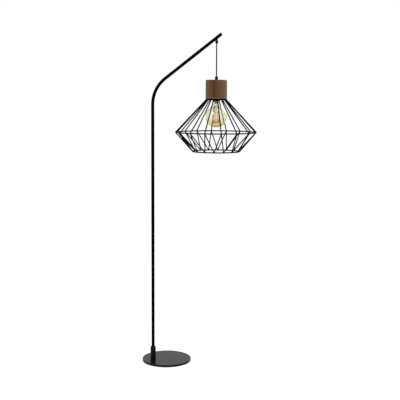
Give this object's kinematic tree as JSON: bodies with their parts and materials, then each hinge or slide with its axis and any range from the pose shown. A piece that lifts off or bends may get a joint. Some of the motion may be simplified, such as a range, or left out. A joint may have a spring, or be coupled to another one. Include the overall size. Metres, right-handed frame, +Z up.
{
  "type": "floor lamp",
  "caption": "Floor lamp with a round steel base, a slim pole with an angled arm, and a faceted wire cage shade that hangs from a turned wooden cap on a short cable.",
  "frame": {"origin": "centre of the round base's underside, where it rests on the floor", "axes": "+Z up, +X from the pole towards the hanging shade"},
  "size_m": [0.5786, 0.4102, 1.6498],
  "materials": {
    "black_steel": "satin black powder coat",
    "black_wire": "satin black powder coat",
    "felt": "dense black felt",
    "zinc_steel": "zinc plated",
    "black_oxide": "black oxide",
    "black_rubber": "matte",
    "black_plastic": "fine matte",
    "black_flex": "satin sheath",
    "walnut": "oiled walnut, straight grain",
    "white_ceramic": "glazed ceramic",
    "brass": "drawn",
    "nickel_brass": "pressed",
    "black_insulator": "vitrified",
    "solder": "dull",
    "amber_glass": "clear with a light amber tint",
    "clear_glass": "clear",
    "filament": "orange phosphor coating",
    "filament_wire": "drawn wire"
  },
  "bodies": {
    "stand": {"base_plate": "black_steel", "base_felt": "felt", "base_bolt": "zinc_steel", "base_washer": "zinc_steel", "pole_socket": "black_steel", "socket_set_screw": "black_oxide", "cord_inlet_grommet": "black_rubber", "pole_lower": "black_steel", "lower_coupler": "zinc_steel", "pole_middle": "black_steel", "upper_coupler": "zinc_steel", "arm_tube": "black_steel", "arm_end_cap": "black_plastic", "arm_nipple": "black_steel", "upper_cord_grip": "black_plastic", "upper_grip_screw": "black_oxide"},
    "cable": {"pendant_cable": "black_flex"},
    "grip": {"lower_cord_grip": "black_plastic", "lower_grip_screw": "black_oxide"},
    "shade": {"wood_cap": "walnut", "shade_nipple": "zinc_steel", "cap_washer": "zinc_steel", "cap_nut": "zinc_steel", "lampholder_cover": "black_plastic", "lampholder_skirt": "black_plastic", "lampholder_core": "white_ceramic", "lampholder_screw_shell": "brass", "lampholder_contact": "brass", "holder_flex": "black_flex", "cage_mount_plate": "black_wire", "cage_plate_screws": "black_oxide", "cage_top_ring": "black_wire", "cage_ribs": "black_wire", "cage_waist_ring": "black_wire", "cage_right_braces": "black_wire", "cage_left_braces": "black_wire", "cage_bottom_ring": "black_wire"},
    "bulb": {"bulb_glass": "amber_glass", "bulb_screw_cap": "nickel_brass", "bulb_cap_insulator": "black_insulator", "bulb_contact": "solder", "bulb_stem": "clear_glass", "bulb_filaments": "filament", "bulb_filament_frame": "filament_wire"}
  },
  "joints": [
    {"name": "pendant_swing", "type": "hinge", "parent": "stand", "child": "cable", "pos_m": [0.251, 0, 1.59824], "axis": [0, 1, 0], "range_deg": [-30, 12]},
    {"name": "shade_tilt", "type": "hinge", "parent": "cable", "child": "grip", "pos_m": [0.251, 0, 1.43334], "axis": [1, 0, 0], "range_deg": [-20, 20]},
    {"name": "shade_twist", "type": "hinge", "parent": "grip", "child": "shade", "pos_m": [0.251, 0, 1.41854], "axis": [0, 0, 1], "range_deg": [-90, 90]},
    {"name": "bulb_turn", "type": "hinge", "parent": "shade", "child": "bulb", "pos_m": [0.251, 0, 1.31479], "axis": [0, 0, 1], "range_deg": [-720, 0]}
  ]
}
